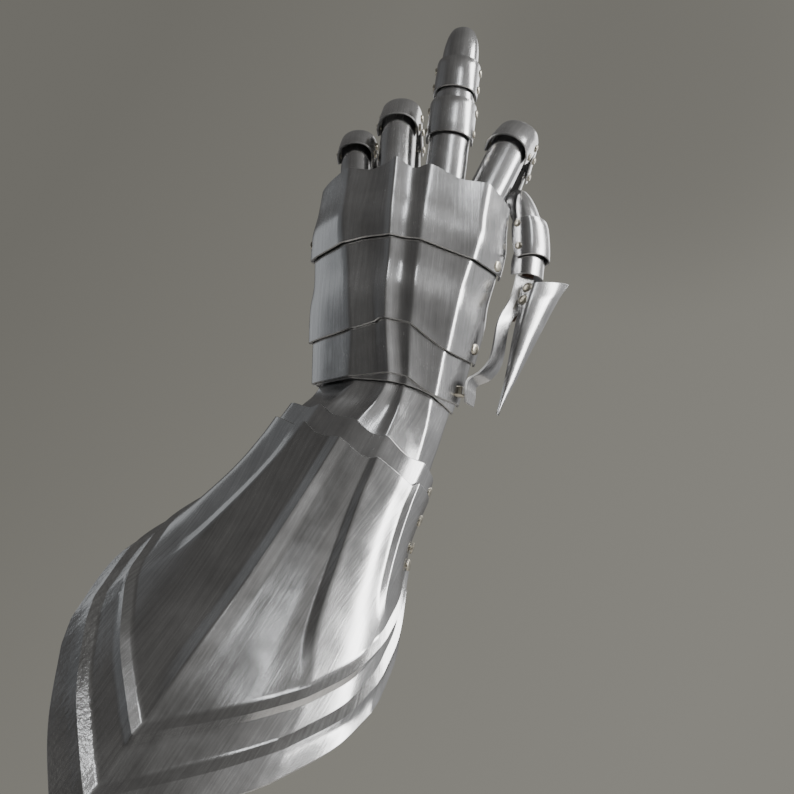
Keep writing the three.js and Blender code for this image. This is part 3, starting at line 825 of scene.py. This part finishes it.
def pin_meshes(frame_of, pivot, wide):
    """The two pins of a joint, one at each side of the finger."""
    inside = wide - FINGER_PLATE - PIN_TAIL
    outside = wide + CAP_GAP + FINGER_PLATE
    profile = [
        [AXIS_RADIUS, inside],
        [FINGER_SHANK, inside],
        [FINGER_SHANK, outside - 0.2],
        [FINGER_HEAD, outside - 0.2],
        [FINGER_HEAD, outside + 0.55],
        [FINGER_HEAD * 0.82, outside + 0.95],
        [FINGER_HEAD * 0.5, outside + 1.08],
        [AXIS_RADIUS, outside + 1.1],
    ]
    middle = frame_of.place(0, pivot[1], pivot[0])
    return [lathe_mesh("pin", profile, middle, frame_of.side * sign) for sign in (-1, 1)]


def finger_bones(lengths, bends):
    """Where each bone starts, along the finger and toward the palm, and its heading in degrees."""
    points, headings = [[0, 0]], []
    heading = 0
    for length, bend in zip(lengths, bends):
        heading += bend
        headings.append(heading)
        s, y = points[-1]
        turn = math.radians(heading)
        points.append([s + length * math.cos(turn), y + length * math.sin(turn)])
    return points, headings


def finger(name, base_body, spec):
    """A finger's plates, caps and pins, from the hand to the tip."""
    frame_of = Finger(spec["at"], spec["lean"], spec.get("roll", 0))
    wide, crown, lengths, caps = spec["wide"], spec["crown"], spec["lengths"], spec["caps"]
    points, headings = finger_bones(lengths, spec["bends"])
    taper = spec.get("taper", FINGER_TAPER)
    narrow, low = wide * taper, crown * taper
    root_rows = [
        [spec.get("start", 0), 1, 1, 4.4],
        [lengths[0] - 7, 1, 1, 4.8],
        [lengths[0] + FINGER_REACH, 1, 0.985, EAR - 1.2],
    ]
    root = finger_grid(frame_of, points[0], headings[0], wide, crown, root_rows)
    finger_piece(f"{name}_proximal", base_body, root, 8)

    def cap(label, k, w, h):
        skin = CAP_GAP + FINGER_PLATE
        swell = 1 + CAP_SWELL
        rows = [
            [-CAP_BACK, 1, 1.0, 2.2],
            [1, 1, swell, EAR + 0.3],
            [lengths[k] - 1, 1, swell, EAR + 0.3],
            [lengths[k] + CAP_FRONT, 1, 1.0, 2.4],
        ]
        grid = finger_grid(frame_of, points[k], headings[k], w + skin, h + skin, rows)
        node = f"{name}_{label}"
        finger_piece(node, node, grid, 6)
        pins = pin_meshes(frame_of, points[k], w) + pin_meshes(frame_of, points[k + 1], w)
        place_piece(joined(node + "_pins", pins), node + "_pins", None, node, [RIVET_METAL])

    cap(caps[0], 1, wide, crown)
    last, w, h = 2, wide, crown
    if len(caps) > 1:
        rows = [
            [-FINGER_REACH, 1, 0.985, EAR - 1.2],
            [lengths[2] * 0.5, 1, 1, 4.2],
            [lengths[2] + FINGER_REACH, taper, taper * 0.985, EAR - 1.2],
        ]
        grid = finger_grid(frame_of, points[2], headings[2], wide, crown, rows)
        finger_piece(f"{name}_middle", f"{name}_middle", grid, 6)
        cap(caps[1], 3, narrow, low)
        last, w, h = 4, narrow, low
    tip = lengths[last]
    rows = [
        [-FINGER_REACH, 1, 0.985, EAR - 1.2],
        [tip * 0.5, 0.95, 0.96, EAR + 0.4],
        [tip * 0.86, 0.7, 0.72, 2.6],
        [tip, 0.22, 0.3, 0.6],
    ]
    grid = finger_grid(frame_of, points[last], headings[last], w, h, rows)
    finger_piece(f"{name}_tip", f"{name}_tip", grid, 8)


CAPS = ["knuckle_cap", "end_cap"]
FINGERS = {
    "middle_finger": {
        "at": (14.8, -11.2, 113), "lean": -1.5, "wide": 10.3, "crown": 9.2, "caps": CAPS,
        "lengths": [33.5, 12.8, 15.4, 11, 30], "bends": [5, 1, 1, 1, 1],
    },
    "ring_finger": {
        "at": (-10.6, -11.4, 113), "lean": -6, "wide": 9.2, "crown": 8.6, "caps": CAPS,
        "lengths": [38, 13.6, 14.5, 10.5, 26], "bends": [12, 28, 50, 36, 18],
    },
    "little_finger": {
        "at": (-30.4, -8.2, 104), "lean": -10, "wide": 8.0, "crown": 7.4, "caps": CAPS,
        "lengths": [31, 12.4, 11.5, 9.5, 22], "bends": [15, 28, 48, 36, 18],
    },
    "first_finger": {
        "at": (35, -5, 110), "lean": 15.5, "start": 4, "wide": 9.8, "crown": 8.8, "caps": CAPS,
        "lengths": [38, 13.6, 14.5, 10.5, 26], "bends": [12, 28, 50, 36, 18],
    },
    "thumb": {
        "at": (63, 10.5, 78), "lean": -3, "start": -0.5, "roll": 55, "wide": 8.6, "crown": 7.6,
        "caps": ["cap"], "lengths": [14, 13, 26], "bends": [-2, 10, 14], "taper": 1,
    },
}
for name, spec in FINGERS.items():
    finger(name, "thumb_base" if name == "thumb" else "knuckles", spec)

# The leather under the finger plates: a band, and a tongue for each finger.
BAND_ROWS = [(102.5, -2.9), (107.5, -2.6), (112, -2.5)]
band_grid = [[hand_point(c, z, off) for c in range(2, 10)] for z, off in BAND_ROWS]
leathers = [sheet_mesh("band", refine(band_grid, 6, 5), LEATHER)]
TONGUE_HALF = 3.4
TONGUE_START = 105.5
TONGUE_END = 14
# The crown over the tongue, the hand column that it starts at, and how deep it sinks.
TONGUES = {
    "little_finger": (7.6, 2, 1.1),
    "ring_finger": (8.6, 4, 0),
    "middle_finger": (9.2, 7, 0),
    "first_finger": (8.8, 9, 0),
}
for name, (crown, column, sink) in TONGUES.items():
    at, bend = FINGERS[name]["at"], FINGERS[name]["bends"][0]
    frame_of = Finger(at, FINGERS[name]["lean"])
    inner = -(crown * 0.97 - FINGER_PLATE - 0.6)
    fall = math.tan(math.radians(bend))
    root = hand_point(column, 107, -3.7 - sink)[1] - at[1]
    start = TONGUE_START - at[2]
    rows = [
        [start, root],
        [min(start + 4, -2.5), root + 0.3],
        [min(start + 8, 0.5), inner + 0.4],
        [TONGUE_END, inner + TONGUE_END * fall],
    ]
    sides = (-TONGUE_HALF, 0, TONGUE_HALF)
    grid = [[frame_of.place(x, y, s) for x in sides] for s, y in rows]
    leathers.append(sheet_mesh("tongue", refine(grid, 4, 6), LEATHER))
strap_mesh = joined("finger_leather_strap", leathers)
leather_piece(strap_mesh, "finger_leather_strap", "finger_leather", "knuckles")

# The thumb side.
STRAP = [
    [[41.56, -9.6, 3.6], [44.92, -1.2, 3.4]],
    [[40.84, -11.4, 9.0], [45.16, -0.6, 8.6]],
    [[41.24, -10.4, 14.4], [45.08, -0.8, 13.6]],
    [[46.6, -8.6, 20.0], [51.6, 0.4, 18.6]],
    [[50.4, -7.0, 28.0], [56.0, 0.6, 27.0]],
    [[51.8, -5.6, 48.0], [57.6, -0.6, 48.0]],
    [[56.5, 1.6, 64.0], [64.5, 5.2, 64.0]],
    [[57.8, 3.4, 76.5], [66.8, 8.0, 76.5]],
]
WING = [
    [[56.4, -3.4, 1.0], [57.0, -4.2, 0.4], [57.5, -4.0, 1.4], [57.9, -3.4, 2.4]],
    [[58.2, -2.2, 20.0], [60.0, -4.6, 20.0], [63.4, -3.2, 21.4], [65.2, -0.9, 23.0]],
    [[59.4, -1.0, 40.0], [62.6, -4.2, 40.0], [69.2, -1.8, 43.6], [73.8, 3.4, 48.0]],
    [[60.8, 1.0, 60.0], [65.4, -2.6, 60.0], [75.6, 2.0, 64.4], [80.8, 8.8, 68.0]],
    [[62.4, 3.0, 72.0], [67.8, -0.2, 72.0], [77.6, 4.6, 74.6], [85.0, 13.6, 77.6]],
]
THUMB_LEATHER = [
    [[53.4, 1.4, 52.0], [59.4, 4.0, 52.0]],
    [[56.6, 4.6, 64.0], [63.8, 8.0, 64.0]],
    [[59.4, 7.2, 74.6], [65.6, 10.4, 74.6]],
    [[62.6, 5.2, 80.0], [66.4, 10.0, 80.0]],
    [[63.4, 3.6, 89.0], [66.8, 8.4, 89.0]],
]
plate_piece("thumb_strap", "thumb_base", refine(STRAP, 8, 8), dent=0.08)
plate_piece("thumb_wing", "thumb_base", refine(WING, 10, 12))
strip_mesh = sheet_mesh("thumb_leather_strip", refine(THUMB_LEATHER, 6, 6), LEATHER)
leather_piece(strip_mesh, "thumb_leather_strip", "thumb_leather", "thumb_base")

# Rivets: the CAD solids give the place, direction and length of each.
SHANK = 1.1
HEAD = 2.8
TAIL = 1.6
HEAD_RISE = 1.15
TAIL_RISE = 0.7
RIVET_SIDES = 28


def rivet_line(solid):
    """The top of a rivet's head, the direction out of the plate, and the rivet's length, in mm."""
    flats = sum(face.area * np.outer(face.normal, face.normal) for face in solid.data.polygons)
    out = np.linalg.eigh(flats)[1][:, -1]
    corners = np.unique(np.round([v.co / MM for v in solid.data.vertices], 3), axis=0)
    middle = corners.mean(0)
    heights = (corners - middle) @ out
    offsets = np.linalg.norm(corners - middle - np.outer(heights, out), axis=1)
    if offsets[heights > 0].max() < offsets[heights < 0].max():
        out, heights = -out, -heights
    return middle + out * heights.max(), out, np.ptp(heights)


def rivet_profile(lift, deep):
    """Radius and height from the tail up to the domed head."""
    return [
        [AXIS_RADIUS, -deep - TAIL_RISE],
        [TAIL * 0.7, -deep - 0.45],
        [TAIL, -deep],
        [SHANK, -deep],
        [SHANK, lift],
        [HEAD, lift],
        [HEAD, lift + 0.45],
        [HEAD * 0.86, lift + 0.85],
        [HEAD * 0.6, lift + 1.05],
        [AXIS_RADIUS, lift + 1.12],
    ]


for node, solid in frame["nodes"].items():
    if node.startswith("rivet_"):
        top, out, length = rivet_line(solid)
        profile = rivet_profile(-HEAD_RISE, length - TAIL_RISE)
        mesh = lathe_mesh(node + "_stud", profile, top, out, RIVET_SIDES)
        place_piece(mesh, node + "_stud", node, solid["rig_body"], [RIVET_METAL])


# The camera.
CAMERA_TURN = math.radians(8)
CAMERA_PITCH = math.radians(12)
CAMERA_ROLL = math.radians(8.7)
CAMERA_FAR = 432
CAMERA_RIGHT = 6
CAMERA_UP = 4
SENSOR = 36
FOCAL_PIXELS = 860
PICTURE_PIXELS = 794
forward = Vector((
    -math.sin(CAMERA_TURN) * math.cos(CAMERA_PITCH),
    math.cos(CAMERA_TURN) * math.cos(CAMERA_PITCH),
    math.sin(CAMERA_PITCH),
))
right = Vector((math.cos(CAMERA_TURN), math.sin(CAMERA_TURN), 0))
upward = right.cross(forward)
place = (-forward * CAMERA_FAR + right * CAMERA_RIGHT + upward * CAMERA_UP) * MM
cos_roll, sin_roll = math.cos(CAMERA_ROLL), math.sin(CAMERA_ROLL)
picture_right = right * cos_roll + upward * sin_roll
picture_up = upward * cos_roll - right * sin_roll
camera_data = bpy.data.cameras.new("camera")
camera_data.sensor_width = SENSOR
camera_data.lens = SENSOR * FOCAL_PIXELS / PICTURE_PIXELS
camera_data.clip_start = 0.01
camera_data.clip_end = 20
camera = bpy.data.objects.new("camera", camera_data)
bpy.context.scene.collection.objects.link(camera)
turn = Matrix((picture_right, picture_up, -forward)).transposed().to_4x4()
camera.matrix_world = Matrix.Translation(place) @ turn
bpy.context.scene.camera = camera


# The lights, in metres and watts.
def area_light(name, where, target, wide, tall, power, colour=(1, 1, 1)):
    data = bpy.data.lights.new(name, "AREA")
    data.shape = "RECTANGLE"
    data.size, data.size_y = wide, tall
    data.energy = power
    data.color = colour
    light = bpy.data.objects.new(name, data)
    bpy.context.scene.collection.objects.link(light)
    light.location = where
    light.rotation_mode = "QUATERNION"
    light.rotation_quaternion = (Vector(target) - Vector(where)).to_track_quat("-Z", "Y")
    light.visible_camera = False


area_light("window", (1.0, -0.45, 0.22), (0, 0, -0.05), 0.42, 0.7, 9, (1, 0.995, 0.98))
area_light("high window", (1.05, -0.1, 0.85), (0, 0, 0), 0.6, 0.9, 14, (1, 0.995, 0.98))
area_light("top strip", (0.25, -1.1, 1.0), (0, 0, 0), 0.16, 0.5, 1.3, (0.96, 0.98, 1))
area_light("left wall", (-1.1, 0.55, 0.1), (0, 0, 0), 0.7, 1.0, 0.8, (0.93, 0.97, 1))
area_light("back", (0.5, 1.2, 0.8), (0, 0, 0), 0.8, 0.8, 4)

# The floor, a round disc a metre in radius.
FLOOR_SIDES = 64
FLOOR_HEIGHT = -0.5
floor_mesh = bpy.data.meshes.new("floor")
turns = [2 * math.pi * k / FLOOR_SIDES for k in range(FLOOR_SIDES)]
corners = [(math.cos(a), math.sin(a), FLOOR_HEIGHT) for a in turns]
floor_mesh.from_pydata(corners, [], [list(range(FLOOR_SIDES))])
floor_material, _, _, floor_shader = new_material("floor_paint")
floor_shader.inputs["Base Color"].default_value = (0.6, 0.58, 0.55, 1)
floor_shader.inputs["Roughness"].default_value = 0.8
floor_mesh.materials.append(floor_material)
floor = bpy.data.objects.new("floor", floor_mesh)
bpy.context.scene.collection.objects.link(floor)

# The room.
world = bpy.data.worlds.new("room")
bpy.context.scene.world = world
world.use_nodes = True
nodes, links = world.node_tree.nodes, world.node_tree.links
background = nodes["Background"]
direction = nodes.new("ShaderNodeTexCoord").outputs["Generated"]
split = nodes.new("ShaderNodeSeparateXYZ")
links.new(direction, split.inputs[0])


def toward(vector):
    node = nodes.new("ShaderNodeVectorMath")
    node.operation = "DOT_PRODUCT"
    links.new(direction, node.inputs[0])
    node.inputs[1].default_value = vector
    return node.outputs["Value"]


def shown(linear):
    """The wall's warm grey at that brightness."""
    return (linear * 1.03, linear, linear * 0.885)


# What the metal mirrors: dim at the left and below, lighter at the right and above.
sideways = maths(nodes, links, "ADD", maths(nodes, links, "MULTIPLY", split.outputs["X"], 0.5), 0.5)
ROOM_STOPS = [
    (0.0, (0.15, 0.155, 0.16)),
    (0.2, (0.07, 0.068, 0.066)),
    (0.45, (0.11, 0.108, 0.104)),
    (0.7, (0.23, 0.226, 0.22)),
    (1.0, (0.5, 0.5, 0.5)),
]
room = ramp(nodes, links, sideways, ROOM_STOPS)
links.new(room, background.inputs["Color"])
rise = nodes.new("ShaderNodeMapRange")
links.new(split.outputs["Z"], rise.inputs["Value"])
rise.inputs["From Min"].default_value = -0.6
rise.inputs["From Max"].default_value = 0.7
rise.inputs["To Min"].default_value = 0.55
rise.inputs["To Max"].default_value = 1.5
links.new(rise.outputs[0], background.inputs["Strength"])
# What the camera sees: a plain wall, a little darker at the top left and in one soft shadow.
slant = maths(nodes, links, "ADD", toward(picture_right * 0.8 - picture_up * 0.6), 0.5)
WALL_STOPS = [(0.08, shown(0.158)), (0.4, shown(0.2)), (0.95, shown(0.245))]
wall = ramp(nodes, links, slant, WALL_STOPS)
shadow_at = (forward + picture_right * 0.3 + picture_up * 0.36).normalized()
shade = nodes.new("ShaderNodeMapRange")
links.new(toward(shadow_at), shade.inputs["Value"])
shade.interpolation_type = "SMOOTHSTEP"
shade.inputs["From Min"].default_value = 0.965
shade.inputs["From Max"].default_value = 1.0
shade.inputs["To Min"].default_value = 1.0
shade.inputs["To Max"].default_value = 0.84
seen = nodes.new("ShaderNodeBackground")
links.new(wall, seen.inputs["Color"])
links.new(shade.outputs[0], seen.inputs["Strength"])
path = nodes.new("ShaderNodeLightPath")
mix = nodes.new("ShaderNodeMixShader")
links.new(path.outputs["Is Camera Ray"], mix.inputs[0])
links.new(background.outputs[0], mix.inputs[1])
links.new(seen.outputs[0], mix.inputs[2])
links.new(mix.outputs[0], nodes["World Output"].inputs["Surface"])
